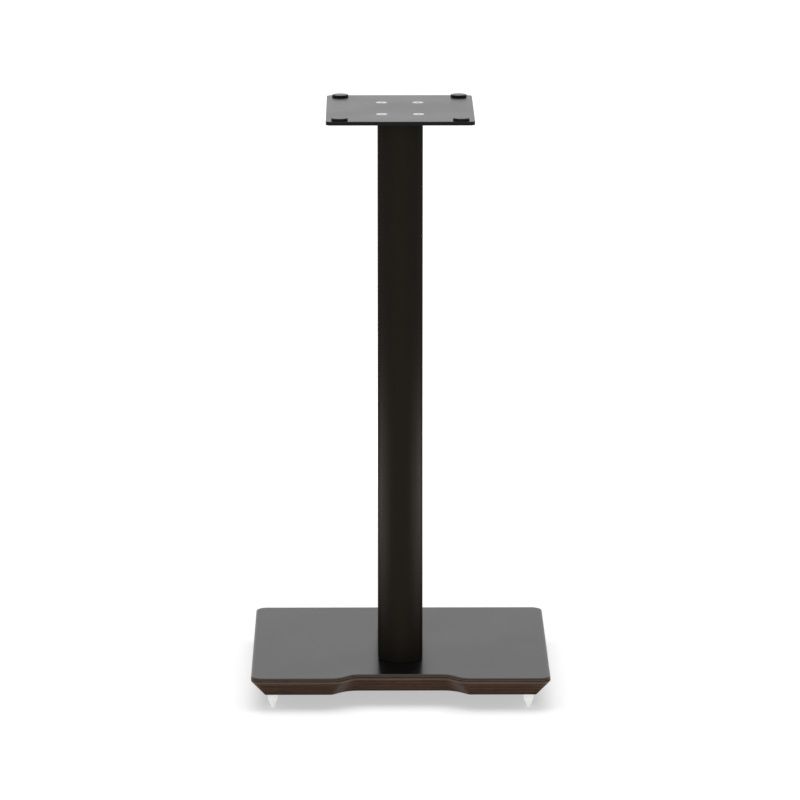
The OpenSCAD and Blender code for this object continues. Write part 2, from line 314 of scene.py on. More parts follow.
def lathe(centre, radii, heights, wear_and_painted_light=0.0, around=AROUND):
    """Rings of points: x and y are the centre plus radius * (cos, sin) of the angle, z is the height.

    radii, heights and edge marks hold one row for each ring, and a row has one value or one for each angle.
    """
    angles = ring_angles(around)[None, :]
    rows = len(heights)
    radii = np.broadcast_to(np.asarray(radii, float).reshape(rows, -1), (rows, around))
    heights = np.broadcast_to(np.asarray(heights, float).reshape(rows, -1), (rows, around))
    wear_and_painted_light = np.broadcast_to(np.asarray(wear_and_painted_light, float).reshape(-1, 1), (rows, around))
    x = centre[0] + radii * np.cos(angles)
    y = centre[1] + radii * np.sin(angles)
    return np.stack([x, y, heights, wear_and_painted_light], axis=-1)


def carry(plan, profile):
    """Rings of points: for each row of inset, height and edge mark, the plan drawn in by that inset."""
    rings = []
    for inset, height, wear_and_painted_light in profile:
        outline = plan(inset)
        rings.append(np.column_stack([outline, np.full(len(outline), height), np.full(len(outline), wear_and_painted_light)]))
    return np.stack(rings)


def hexagon(flats, around=AROUND):
    """A hexagon's radius at each angle: half its width across flats over the cosine to the nearest flat."""
    sixth = pi / 3
    to_flat = np.mod(ring_angles(around) + sixth / 2, sixth) - sixth / 2
    return flats / 2 / np.cos(to_flat)


def thread(major, depth, pitch, heights, around=AROUND):
    """A right-handed thread's radius: it falls from the major radius by the depth and back once a pitch.

    The place within a pitch is height / pitch - angle / full turn. A triangle wave goes from 1 to 0 and
    back in a pitch. Below CREST_END it gives a flat crest, above ROOT_START a flat root, and between them
    an even flank.
    """
    phase = heights[:, None] / pitch - ring_angles(around)[None, :] / (2 * pi)
    triangle = np.abs(2 * (phase % 1) - 1)
    flank = (triangle - CREST_END) / (ROOT_START - CREST_END)
    return major - depth * np.clip(flank, 0, 1)


print("lathe rings have", AROUND, "points")

# %% [markdown]
# ## From rings to a part
#
# Rings become quads between neighbours. Open rims that lie at one height, such as the outline of a plate
# and the holes in it, are filled together as one flat face. Points that coincide are merged, so a ring
# that has shrunk to nothing is a closed tip, and an area-weighted normal keeps the flats flat beside
# their eased edges.

# %% From rings to a part
MERGE = 1e-7
LEVEL = 1e-6
CREASE = radians(35)


def make_part(name, surfaces, material, body, flats=(), replaces=()):
    """Joins grids of rings into one closed mesh, fills its flats, and puts it on its body."""
    points, quads, start = [], [], 0
    for grid in surfaces:
        rings, around = grid.shape[:2]
        i, j = np.meshgrid(np.arange(rings - 1), np.arange(around), indexing="ij")
        a = start + i * around + j
        b = start + i * around + (j + 1) % around
        quads.append(np.stack([a, b, b + around, a + around], axis=-1).reshape(-1, 4))
        points.append(grid.reshape(-1, 4))
        start += rings * around
    points = np.concatenate(points)
    mesh = bpy.data.meshes.new(name)
    mesh.from_pydata(points[:, :3], [], np.concatenate(quads).tolist())
    # Each point's edge mark: rubbing on metal rims, painted highlight and painted shade on edges of the
    # coat and the wood.
    mesh.attributes.new("wear_and_painted_light", "FLOAT", "POINT").data.foreach_set("value", points[:, 3].astype(np.float32))

    solid = bmesh.new()
    solid.from_mesh(mesh)
    bmesh.ops.remove_doubles(solid, verts=solid.verts, dist=MERGE)
    for height in flats:
        open_rims = [e for e in solid.edges if e.is_boundary]
        rim = [e for e in open_rims if all(abs(v.co.z - height) < LEVEL for v in e.verts)]
        bmesh.ops.triangle_fill(solid, edges=rim, use_beauty=True, normal=(0, 0, 1))
    bmesh.ops.recalc_face_normals(solid, faces=solid.faces)
    open_edges = sum(not e.is_manifold for e in solid.edges)
    solid.to_mesh(mesh)
    solid.free()

    mesh.shade_smooth()
    mesh.set_sharp_from_angle(angle=CREASE)
    mesh.materials.append(material)
    part = bpy.data.objects.new(name, mesh)
    bpy.context.scene.collection.objects.link(part)
    part.modifiers.new("flat_faces", "WEIGHTED_NORMAL").keep_sharp = True
    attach(part, body)
    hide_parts(*replaces)
    print(f"{name}: {len(mesh.polygons)} faces, {open_edges} open edges")


# %% [markdown]
# ## Helpers for the finishes
#
# Every finish is a Principled shader whose colour, gloss and relief come from a few noises, because no
# real surface is quite even. Pictures wrapped round the parts could do this too, but noises worked out in
# space have no seams and stay sharp close up. They read the part's own Object coordinates, which are in
# metres here.

# %% Helpers for the finishes
NOISE_LOW = 0.3
NOISE_HIGH = 0.7


def new_finish(name):
    """A material with its Principled shader, and the Object coordinates that its patterns use."""
    material = bpy.data.materials.new(name)
    material.use_nodes = True
    tree = material.node_tree
    tree.nodes.clear()
    shader = add_node(tree, "BsdfPrincipled")
    add_node(tree, "OutputMaterial", {"Surface": shader.outputs[0]})
    coords = add_node(tree, "TexCoord").outputs["Object"]
    return material, tree, shader, coords


def noise(tree, coords, scale, detail, stretch=(1, 1, 1)):
    """A noise with grains 1 / scale metres across. A stretch below 1 draws them out along that axis."""
    placed = add_node(tree, "Mapping", {"Vector": coords, "Scale": stretch})
    grains = add_node(tree, "TexNoise", {"Vector": placed.outputs[0], "Scale": scale, "Detail": detail})
    return grains.outputs["Fac"]


def between(tree, factor, low, high):
    """A value that runs from low to high as the factor runs over the usual span of a noise."""
    span = {"From Min": NOISE_LOW, "From Max": NOISE_HIGH, "To Min": low, "To Max": high}
    return add_node(tree, "MapRange", {"Value": factor, **span}).outputs[0]


def blend_colours(tree, factor, first, second):
    """The first colour where the factor is 0 and the second where it is 1."""
    mixed = add_node(tree, "Mix", {"Factor": factor}, data_type="RGBA")
    for socket, colour in ((mixed.inputs[6], first), (mixed.inputs[7], second)):
        if isinstance(colour, bpy.types.NodeSocket):
            tree.links.new(colour, socket)
        else:
            socket.default_value = (*colour, 1)
    return mixed.outputs[2]


def wear_and_painted_light_of(tree):
    """The edge marks that a part's points carry: 1 on eased edges, for rubbing and painted highlight, 0
    elsewhere, and below 0 for painted shade.
    """
    return add_node(tree, "Attribute", attribute_name="wear_and_painted_light").outputs["Fac"]


def times(tree, value, factor):
    """A value times a factor, kept between 0 and 1."""
    return add_node(tree, "Math", {0: value, 1: factor}, operation="MULTIPLY", use_clamp=True).outputs[0]


def dress(tree, shader, colour, roughness, height, strength, depth):
    """Links a colour, a roughness, and a bump from the slopes of a height, scaled to a depth in metres."""
    bump = add_node(tree, "Bump", {"Height": height, "Strength": strength, "Distance": depth})
    tree.links.new(colour, shader.inputs["Base Color"])
    tree.links.new(roughness, shader.inputs["Roughness"])
    tree.links.new(bump.outputs[0], shader.inputs["Normal"])


print("a noise's usual span:", NOISE_LOW, "to", NOISE_HIGH)

# %% [markdown]
# ## Powder coat
#
# The steel plate and sheet have a powder coat: a near-black paint baked on as dust, so it keeps a faint
# orange-peel skin. It looks mid grey in the photograph only because it is seen at a grazing angle, where
# any smooth coat mirrors the white studio. A grey paint would match that one view and be wrong from every
# other. The finish is therefore black with a soft gloss, and the grey comes from the reflection. Its
# eased edges are painted paler: a painted highlight, with a little rubbing.


# %% Powder coat
def powder_coat():
    """Near-black baked powder: fine orange peel, slightly cloudy gloss, edges painted paler as highlight
    and rubbing.
    """
    material, tree, shader, coords = new_finish("powder_coat")
    black = (0.0012, 0.0012, 0.0012)
    dusty_black = (0.0018, 0.0018, 0.0018)
    # Paler edge colour of the coat: a painted highlight along the eased edges, with a little rubbing.
    edge_rub_and_highlight = (0.052, 0.046, 0.042)
    clouds = noise(tree, coords, scale=14, detail=3)
    peel = noise(tree, coords, scale=1500, detail=2)
    tone = blend_colours(tree, clouds, black, dusty_black)
    colour = blend_colours(tree, wear_and_painted_light_of(tree), tone, edge_rub_and_highlight)
    roughness = between(tree, clouds, low=0.22, high=0.26)
    dress(tree, shader, colour, roughness, peel, strength=0.2, depth=0.015 * MM)
    shader.inputs["IOR"].default_value = 1.27
    return material


POWDER = powder_coat()
print("finish:", POWDER.name)

# %% [markdown]
# ## Extrusion coat
#
# The column is aluminium, pressed hot through a die, with a fine brown-black coat that keeps faint lines
# along its length. A noise drawn out along Z gives them, in the gloss and in the skin, where lines cut
# into the mesh would need far too many faces. That coat mirrors little at a grazing angle, so the
# column's round sides stay dark. A plain Principled shader would mirror more there, so its gloss is
# turned down as the surface turns away.


# %% Extrusion coat
def extrusion_coat():
    """Warm near-black: faint lines along Z in the gloss and the skin, and a weak gloss at the sides."""
    material, tree, shader, coords = new_finish("extrusion_coat")
    brown_black = (0.0062, 0.0049, 0.0038)
    pale_brown_black = (0.0077, 0.0060, 0.0046)
    lines = noise(tree, coords, scale=900, detail=3, stretch=(1, 1, 0.006))
    clouds = noise(tree, coords, scale=9, detail=2)
    colour = blend_colours(tree, clouds, brown_black, pale_brown_black)
    line_gloss = between(tree, lines, low=-0.05, high=0.05)
    cloud_gloss = between(tree, clouds, low=0.45, high=0.49)
    roughness = add_node(tree, "Math", {0: line_gloss, 1: cloud_gloss}, operation="ADD").outputs[0]
    dress(tree, shader, colour, roughness, lines, strength=0.25, depth=0.01 * MM)
    facing = add_node(tree, "LayerWeight", {"Blend": 0.5}).outputs["Facing"]
    fall = {"From Min": 0.0, "From Max": 0.6, "To Min": 0.5, "To Max": 0.03}
    level = add_node(tree, "MapRange", {"Value": facing, **fall})
    tree.links.new(level.outputs[0], shader.inputs["Specular IOR Level"])
    shader.inputs["IOR"].default_value = 1.25
    shader.inputs["Specular Tint"].default_value = (1.0, 0.86, 0.70, 1.0)
    return material


EXTRUSION = extrusion_coat()
print("finish:", EXTRUSION.name)

# %% [markdown]
# ## Cover plastic and pad rubber
#
# The strip over the cable channel is moulded plastic, matt with a fine grain, because its mould was
# roughened by sparks. The pads are pressed rubber with a softer gloss, and rubber slowly gives off a
# dusty bloom that lies in patches. In each finish one noise moves the tone and the gloss together, as
# they do on the real thing, where a paler spot is also a duller one.


# %% Cover plastic and pad rubber
def cover_plastic():
    """Matt black plastic with a fine spark-eroded grain."""
    material, tree, shader, coords = new_finish("cover_plastic")
    grain = noise(tree, coords, scale=2600, detail=1)
    colour = blend_colours(tree, grain, (0.009, 0.0088, 0.0085), (0.014, 0.0135, 0.013))
    roughness = between(tree, grain, low=0.5, high=0.6)
    dress(tree, shader, colour, roughness, grain, strength=0.4, depth=0.03 * MM)
    shader.inputs["IOR"].default_value = 1.25
    return material


def pad_rubber():
    """Black rubber: soft gloss, a fine pressed grain, and a dusty bloom in patches."""
    material, tree, shader, coords = new_finish("pad_rubber")
    grain = noise(tree, coords, scale=1800, detail=2)
    bloom = noise(tree, coords, scale=160, detail=4)
    colour = blend_colours(tree, bloom, (0.005, 0.005, 0.005), (0.009, 0.009, 0.0088))
    roughness = between(tree, bloom, low=0.2, high=0.26)
    dress(tree, shader, colour, roughness, grain, strength=0.1, depth=0.02 * MM)
    shader.inputs["IOR"].default_value = 1.22
    return material


COVER = cover_plastic()
RUBBER = pad_rubber()
print("finishes:", COVER.name, RUBBER.name)

# %% [markdown]
# ## Metals
#
# The screws, nuts and spikes are plated steel, the bolts are duller zinc, and the inserts are brass.
# Turning on a lathe leaves rings that are far finer than the picture. Cut into the mesh they would take
# thousands of rows, so they are a noise drawn out sideways into level rings, which shows in the gloss and
# in a slight bump. The screws in the plate look a shade darker than the spikes in the photograph, so they
# get a darker copy of the same plating, as painted shade.


# %% Metals
def turned_metal(name, dark, bright, smooth, rough, rings_per_metre):
    """A metal with turning rings, a cloudy tone and a rim half polished by handling."""
    material, tree, shader, coords = new_finish(name)
    rings = noise(tree, coords, scale=rings_per_metre, detail=2, stretch=(0.02, 0.02, 1))
    clouds = noise(tree, coords, scale=220, detail=3)
    tone = blend_colours(tree, clouds, dark, bright)
    colour = blend_colours(tree, times(tree, wear_and_painted_light_of(tree), 0.5), tone, bright)
    dress(tree, shader, colour, between(tree, rings, smooth, rough), rings, strength=0.2, depth=0.02 * MM)
    shader.inputs["Metallic"].default_value = 1.0
    return material


# A darker copy of the spike plating for the screws in the plate: painted shade.
SHADED_SCREW_PLATING = turned_metal("screw_plating_painted_shade", (0.62, 0.62, 0.61), (0.78, 0.78, 0.77), 0.28, 0.40, 4000)
BRIGHT = turned_metal("spike_plating", (0.74, 0.74, 0.72), (0.88, 0.88, 0.86), 0.30, 0.42, 4000)
ZINC = turned_metal("zinc_plating", (0.40, 0.41, 0.42), (0.55, 0.56, 0.58), 0.30, 0.42, 3000)
BRASS = turned_metal("plain_brass", (0.55, 0.38, 0.15), (0.70, 0.50, 0.24), 0.22, 0.34, 3500)
print("metals:", [m.name for m in (SHADED_SCREW_PLATING, BRIGHT, ZINC, BRASS)])

# %% [markdown]
# ## Walnut
#
# The plinth is dark walnut with a thin satin lacquer. Boards are often shown by a flat picture of grain,
# which never meets itself at a corner. Wood is a solid, so here its pattern is worked out in space and
# cut by each face: growth rings about an axis along X give long lines on the front and arcs on the ends.
# Finer fibres and short dark pores run along X too, and the lacquer lies over it all as a clear coat.


# %% Walnut
def walnut():
    """Rings about an axis along X, bent by a slow noise, with fibres, pores and a clear lacquer; painted
    edge highlight and shade.
    """
    material, tree, shader, coords = new_finish("walnut")
    early_wood = (0.106, 0.053, 0.027)
    late_wood = (0.056, 0.0266, 0.0139)
    fibre_brown = (0.042, 0.0197, 0.0102)
    pore_brown = (0.017, 0.008, 0.0046)
    # Paler wood on the upper eased edges: a painted highlight with a little rubbing.
    rubbed_and_highlight_wood = (0.17, 0.135, 0.105)
    # Painted shade: the dark brown on the lowest eased edge, where the shade under the plinth falls.
    painted_shade_brown = (0.010, 0.005, 0.003)
    heart = (0, -0.02, 0.09)
    placed = {"Vector": coords, "Location": heart, "Scale": (0.12, 1, 1)}
    board = add_node(tree, "Mapping", placed).outputs[0]
    wave = {"Vector": board, "Scale": 62, "Distortion": 5.0, "Detail": 3.0, "Detail Scale": 0.5}
    rings = add_node(tree, "TexWave", wave, wave_type="RINGS", rings_direction="X").outputs["Fac"]
    fibres = noise(tree, coords, scale=420, detail=5, stretch=(0.03, 1, 1))
    pores = noise(tree, coords, scale=1100, detail=2, stretch=(0.05, 1, 1))
    patches = noise(tree, coords, scale=7, detail=2, stretch=(0.5, 1, 1))
    ringed = blend_colours(tree, rings, early_wood, late_wood)
    streaked = blend_colours(tree, between(tree, fibres, 0.0, 0.75), ringed, fibre_brown)
    pored = blend_colours(tree, between(tree, pores, -1.6, 1.0), streaked, pore_brown)
    shade = add_node(tree, "HueSaturation", {"Color": pored, "Value": between(tree, patches, 0.85, 1.15)})
    # Painted highlight, with a little rubbing, on the upper eased edges.
    edge_rub_and_highlight = times(tree, wear_and_painted_light_of(tree), 0.72)
    # Painted shade on the lowest edge, where the edge mark is below zero.
    painted_shade_mask = times(tree, wear_and_painted_light_of(tree), -0.7)
    paler = blend_colours(tree, edge_rub_and_highlight, shade.outputs[0], rubbed_and_highlight_wood)
    colour = blend_colours(tree, painted_shade_mask, paler, painted_shade_brown)
    height = add_node(tree, "Math", {0: fibres, 1: pores}, operation="SUBTRACT").outputs[0]
    roughness = between(tree, fibres, low=0.42, high=0.55)
    dress(tree, shader, colour, roughness, height, strength=0.25, depth=0.05 * MM)
    shader.inputs["IOR"].default_value = 1.05
    shader.inputs["Coat Weight"].default_value = 0.35
    shader.inputs["Coat Roughness"].default_value = 0.28
    shader.inputs["Coat IOR"].default_value = 1.22
    return material


WALNUT = walnut()
print("wood:", WALNUT.name)

# %% [markdown]
# ## Where the screws are
#
# The column's four screw ports set the places of the countersunk screws above and the bolts below. The
# construction model's group of screws reaches from the outer side of one head to the outer side of the
# opposite one, so half a head less than its box gives the axes.

# %% Where the screws are
CORNER_NAMES = {(-1, -1): "front_left", (1, -1): "front_right", (-1, 1): "rear_left", (1, 1): "rear_right"}
SCREW_HEAD_R = 5.85 * MM
THREAD_R = 3.0 * MM
THREAD_DEPTH = 0.54 * MM
THREAD_PITCH = 1.0 * MM
HOLE_PLAY = 0.3 * MM
HOLE_R = THREAD_R + HOLE_PLAY
SEAT_GAP = 0.1 * MM

screws_low, screws_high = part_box("top_screws")
PORT_X = screws_high.x - SCREW_HEAD_R
PORT_Y = screws_high.y - SCREW_HEAD_R
PORTS = [(x * PORT_X, y * PORT_Y) for x, y in CORNER_NAMES]
print("screw axes at", [[round(v / MM, 2) for v in port] for port in PORTS], "mm")

# %% [markdown]
# ## Top plate
#
# A 4 mm steel plate, cut by laser, deburred and painted, so its edges are softly rounded. Its plan is a
# rectangle with small round corners. The four holes are countersunk: each is a straight bore that opens
# into a cone at the top. Booleans could cut them, but their rims would stay knife-sharp, so the bores are
# surfaces too. The rims of the outline and of the holes are filled together as one flat face above and
# one below.

# %% Top plate
PLATE_CORNER_R = 5 * MM
PLATE_EDGE_R = 0.6 * MM
# The plate's edges take a little of the coat's paler edge colour: rubbing with a faint painted highlight.
PLATE_EDGE_WEAR_AND_HIGHLIGHT = 0.15
PLAN_STEPS = 12
RIM_RADII = 4
MOUTH_EASE = 0.12 * MM
MOUTH_STEPS = 2
plate_low, plate_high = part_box("top_plate")


def plate_plan(inset):
    """A rectangle with round corners, drawn in by an inset."""
    x, y = plate_high.x - inset, plate_high.y - inset
    corners = [(-x, -y), (x, -y), (x, y), (-x, y)]
    return corner_arcs(corners, [PLATE_CORNER_R - inset] * 4, PLAN_STEPS).reshape(-1, 2)


def edge_profile(low, high, under, over, worn_and_painted_light):
    """A sheet's edge between two heights, eased by two radii, with a flat rim RIM_RADII wide at each."""
    points = [(RIM_RADII * under, low), (0, low), (0, high), (RIM_RADII * over, high)]
    return eased_profile(points, [0, under, over, 0], worn_and_painted_light=[0, worn_and_painted_light, worn_and_painted_light, 0])


def countersink(port):
    """A bore through the plate that opens at 45 degrees to take a screw's head, with an eased mouth."""
    top, mouth_r = plate_high.z, SCREW_HEAD_R + SEAT_GAP
    cone_low = top - (mouth_r - HOLE_R)
    profile = eased_profile(
        [(HOLE_R, plate_low.z), (HOLE_R, cone_low), (mouth_r, top), (mouth_r + MOUTH_EASE, top)],
        [0, 0, MOUTH_EASE, 0],
        MOUTH_STEPS,
    )
    return lathe(port, *profile.T)


plate_edge = edge_profile(plate_low.z, plate_high.z, PLATE_EDGE_R, PLATE_EDGE_R, PLATE_EDGE_WEAR_AND_HIGHLIGHT)
make_part(
    "plate_top", [carry(plate_plan, plate_edge)] + [countersink(port) for port in PORTS],
    POWDER, "stand",
    flats=(plate_low.z, plate_high.z), replaces=["top_plate"],
)

# %% [markdown]
# ## Rubber pads
#
# Four round pads keep the speaker from sliding and rattling. Each is a disc with a rounded upper edge and
# a narrow foot where it is glued down. A cylinder with a Bevel modifier has one radius for both rims, but
# a profile gives the foot and the upper edge their own. One profile, turned about four axes, makes all
# the pads.

# %% Rubber pads
PAD_EDGE_R = 0.8 * MM
PAD_FOOT = 0.15 * MM
PAD_STEPS = 8


def middle_of(node):
    """The place of a node's upright axis: halfway between the sides of its box."""
    low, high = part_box(node)
    return ((low.x + high.x) / 2, (low.y + high.y) / 2)


for corner_name in CORNER_NAMES.values():
    pad_low, pad_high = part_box(f"pad_{corner_name}")
    pad_r = (pad_high.x - pad_low.x) / 2
    profile = eased_profile(
        [
            (0, pad_low.z), (pad_r - PAD_FOOT, pad_low.z), (pad_r, pad_low.z + PAD_FOOT),
            (pad_r, pad_high.z), (0, pad_high.z),
        ],
        [0, 0, PAD_FOOT, PAD_EDGE_R, 0],
        PAD_STEPS,
    )
    make_part(
        f"rubber_pad_{corner_name}", [lathe(middle_of(f"pad_{corner_name}"), *profile.T)],
        RUBBER, "stand", replaces=[f"pad_{corner_name}"],
    )

# %% [markdown]
# ## Countersunk screws
#
# Each screw is one surface from the tip of its shank to the bottom of its socket. The rings are round up
# to the head, become a hexagon at the mouth of the socket, and close in a point at the bottom, as the
# drill left it. The thread winds round the shank below the cone. Cutting a socket and a thread out of a
# solid would take Booleans, which are slow on such fine shapes and leave long thin faces.

# %% Countersunk screws
SOCKET_FLATS = 4 * MM
SOCKET_DEEP = 1.8 * MM
SOCKET_EASE = 0.25 * MM
DRILL_POINT = 0.5 * MM
HEAD_EASE = 0.15 * MM
SHANK_BEVEL = 0.6 * MM
RINGS_PER_PITCH = 8


def thread_rows(low, high, counted):
    """Radii and heights of a thread, with RINGS_PER_PITCH rings for every pitch of the counted length."""
    heights = np.linspace(low, high, round(counted / THREAD_PITCH * RINGS_PER_PITCH))
    return thread(THREAD_R, THREAD_DEPTH, THREAD_PITCH, heights), heights


def threaded_shank(low, high):
    """A screw's thread: from its bevelled end upwards to a plain neck one pitch long."""
    return thread_rows(low + SHANK_BEVEL, high - THREAD_PITCH, high - low - SHANK_BEVEL - THREAD_PITCH)


def around_rows(rows):
    """Rows of one radius each, spread round every angle, to be stacked with a thread or a hexagon."""
    return np.repeat(np.asarray(rows, float)[:, None], AROUND, axis=1)


def countersunk_screw(port):
    """A screw from its shank's end, up the thread and the cone, over the rim and down into its socket."""
    low, top = screws_low.z, screws_high.z
    cone_low = top - (SCREW_HEAD_R - THREAD_R)
    shank, shank_heights = threaded_shank(low, cone_low)
    outside = around_rows([0, THREAD_R - SHANK_BEVEL])
    head = around_rows([THREAD_R, SCREW_HEAD_R - HEAD_EASE / 2, SCREW_HEAD_R - HEAD_EASE])
    hex_r = hexagon(SOCKET_FLATS)
    socket = np.stack([hex_r + SOCKET_EASE, hex_r, hex_r, 0 * hex_r])
    radii = np.concatenate([outside, shank, head, socket])
    heights = np.concatenate([
        [low, low],
        shank_heights,
        [cone_low, top - HEAD_EASE / 2, top],
        [top, top - SOCKET_EASE, top - SOCKET_DEEP, top - SOCKET_DEEP - DRILL_POINT],
    ])
    head_worn = [0, 1, 1]
    socket_worn = [1, 0, 0, 0]
    worn_and_painted_light = np.concatenate([np.zeros(len(outside) + len(shank)), head_worn, socket_worn])
    return lathe(port, radii, heights, worn_and_painted_light)


make_part(
    "countersunk_screws", [countersunk_screw(port) for port in PORTS],
    SHADED_SCREW_PLATING, "stand", replaces=["top_screws"],
)

# %% [markdown]
# ## Column
#
# The column is an extrusion: one section for its whole height. Seen from above it is a long oval with
# half-round ends. Its back has a channel for the speaker cable behind two lips, and inside are four round
# ports that the screws and bolts go into. A section can also be drawn as a curve and extruded, but its
# measures then hide in the curve's handles. Here every outline is a loop of lines and arcs, carried from
# the lower end to the upper one, and both ends are filled as flats with holes.

# %% Column
WALL = 2 * MM
PORT_PLAY = 0.05 * MM
PORT_R = THREAD_R + PORT_PLAY
BOSS_WALL = 1.6 * MM
BOSS_R = PORT_R + BOSS_WALL
CHANNEL_HALF = 8 * MM
MOUTH_HALF = 5 * MM
LIP_T = 3 * MM
CHANNEL_DEEP = 14 * MM
LIP_EASE = 0.3 * MM
NOSE_STEPS = 64
BOSS_STEPS = 24

column_low, column_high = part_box("column")
NOSE_R = column_high.x
NOSE_Y = column_high.y - NOSE_R
LIP_Y = column_high.y - LIP_T
CHANNEL_Y = LIP_Y - CHANNEL_DEEP


def column_outline():
    """The outside of the section and the channel in its back, as one loop from the front's left."""
    mouth_angle = np.degrees(np.arccos((MOUTH_HALF + LIP_EASE) / NOSE_R))
    edge_y = NOSE_Y + NOSE_R * sin(radians(mouth_angle)) - LIP_EASE
    front = arc_points((0, -NOSE_Y), NOSE_R, 180, 360, NOSE_STEPS)
    back_right = arc_points((0, NOSE_Y), NOSE_R, 0, mouth_angle, NOSE_STEPS // 2)
    slot_right = [
        (MOUTH_HALF, edge_y), (MOUTH_HALF, LIP_Y), (CHANNEL_HALF, LIP_Y), (CHANNEL_HALF, CHANNEL_Y),
    ]
    right = np.concatenate([back_right, slot_right])
    left = right[::-1] * (-1, 1)
    return np.concatenate([front, right, left])


def hollow_outline():
    """The inside of the wall, which swells round the four ports and steps round the channel."""
    inner = NOSE_R - WALL
    swell = np.degrees(np.arccos((inner - PORT_X) / BOSS_R))
    block = CHANNEL_HALF + WALL
    turn_in = np.degrees(np.arccos(block / inner))
    front = arc_points((0, -NOSE_Y), inner, 270, 360, NOSE_STEPS // 2)
    low_boss = arc_points((PORT_X, -PORT_Y), BOSS_R, 360 - swell, swell, BOSS_STEPS)
    high_boss = arc_points((PORT_X, PORT_Y), BOSS_R, 360 - swell, swell, BOSS_STEPS)
    back = arc_points((0, NOSE_Y), inner, 0, turn_in, NOSE_STEPS // 4)
    step = [(block, CHANNEL_Y - WALL)]
    right = np.concatenate([front, low_boss, high_boss, back, step])
    left = right[::-1] * (-1, 1)
    return np.concatenate([right, left[:-1]])


def extrude(outline, low, high):
    """A loop of points repeated at two heights."""
    return carry(lambda inset: outline, [(0, low, 0), (0, high, 0)])


make_part(
    "column_extrusion",
    [extrude(loop, column_low.z, column_high.z) for loop in (column_outline(), hollow_outline())]
    + [lathe(port, [PORT_R] * 2, [column_low.z, column_high.z]) for port in PORTS],
    EXTRUSION, "stand",
    flats=(column_low.z, column_high.z), replaces=["column"],
)

# %% [markdown]
# ## Cable cover
#
# A plastic strip snaps into the channel's mouth and hides the cable. Its face follows the column's round
# back, and a wider flange behind the lips holds it. The section is a T with a curved top, carried along
# the length that the construction model gives it, in the same way as the column, so that the two curves
# agree.

# %% Cable cover
FLANGE_T = 1.2 * MM
COVER_EASE = 0.35 * MM
COVER_STEPS = 12
cover_low, cover_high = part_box("cable_cover")
COVER_HALF = MOUTH_HALF - SEAT_GAP


def cover_outline():
    """A T: the curved face between the lips, the neck, and the flange behind."""
    face_angle = np.degrees(np.arccos((COVER_HALF - COVER_EASE) / NOSE_R))
    face = arc_points((0, NOSE_Y), NOSE_R, face_angle, 180 - face_angle, COVER_STEPS)
    shoulder_y = face[0][1] - COVER_EASE
    flange_top = cover_low.y + FLANGE_T
    right = [
        (cover_high.x, cover_low.y), (cover_high.x, flange_top),
        (COVER_HALF, flange_top), (COVER_HALF, shoulder_y),
    ]
    left = [(-x, y) for x, y in right[::-1]]
    return np.concatenate([right, face, left])


make_part(
    "cover_strip", [extrude(cover_outline(), cover_low.z, cover_high.z)],
    COVER, "stand",
    flats=(cover_low.z, cover_high.z), replaces=["cable_cover"],
)

# %% [markdown]
# ## Base sheet
#
# The steel sheet and the wooden plinth under it share one plan: a rectangle with round corners and a
# shallow notch in the front, whose slanted ends run into the front edge in soft curves. Scaling that
# outline would shift the notch and stretch its curves, so the plan is worked out anew for every inset:
# outer corners tighten, the notch's inner ones widen, and the notch's own points slide sideways because
# its ends are slanted. The sheet's upper edge is well rounded and catches the light, and a painted
# highlight from the coat's paler edge colour brightens it further.

# %% Base sheet
BASE_CORNER_R = 12 * MM
NOTCH_HALF = 48 * MM
NOTCH_DEEP = 16 * MM
NOTCH_SLOPE = radians(45)
NOTCH_INNER_R = 12 * MM
NOTCH_OUTER_R = 20 * MM
CORNER_EASE = 1 * MM
SHEET_EDGE_R = 1.3 * MM
SHEET_UNDER_R = 0.2 * MM
# The sheet's upper edge takes the coat's full paler edge colour, as a painted highlight with rubbing.
SHEET_EDGE_WEAR_AND_HIGHLIGHT = 1.0
sheet_low, sheet_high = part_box("base_plate")


def base_plan(inset):
    """The base's outline drawn in by an inset, counterclockwise from the front left corner."""
    x, y = sheet_high.x - inset, sheet_high.y - inset
    shift = inset * tan(NOTCH_SLOPE / 2)
    flat_x = NOTCH_HALF + shift
    open_x = NOTCH_HALF + NOTCH_DEEP / tan(NOTCH_SLOPE) + shift
    notch_y = NOTCH_DEEP - y
    corner = max(BASE_CORNER_R - inset, CORNER_EASE)
    outer = max(NOTCH_OUTER_R - inset, CORNER_EASE)
    inner = NOTCH_INNER_R + inset
    points = [
        (-x, -y), (-open_x, -y), (-flat_x, notch_y), (flat_x, notch_y),
        (open_x, -y), (x, -y), (x, y), (-x, y),
    ]
    radii = [corner, outer, inner, inner, outer, corner, corner, corner]
    return corner_arcs(points, radii, PLAN_STEPS).reshape(-1, 2)


sheet_edge = edge_profile(sheet_low.z, sheet_high.z, SHEET_UNDER_R, SHEET_EDGE_R, SHEET_EDGE_WEAR_AND_HIGHLIGHT)
sheet_holes = [lathe(port, [HOLE_R] * 2, [sheet_low.z, sheet_high.z]) for port in PORTS]
make_part(
    "base_sheet", [carry(base_plan, sheet_edge)] + sheet_holes,
    POWDER, "stand",
    flats=(sheet_low.z, sheet_high.z), replaces=["base_plate"],
)

# %% [markdown]
# ## Plinth
#
# The walnut plinth has a short upright edge and a long slanted bevel under it, cut all round and through
# the notch. A router leaves such edges slightly soft. The upper soft edges are painted paler, as a painted
# highlight of the lacquer with a little rubbing, and the lowest one is painted dark, as painted shade: a
# mark below zero asks the finish for that. A Bevel modifier could cut the slope, but one profile, carried
# round the plan, holds the upright edge, the slope and every soft edge in a single list of points. Below
# are four recesses for the bolts' heads, bored in two steps, and four blind holes for the spikes' inserts.

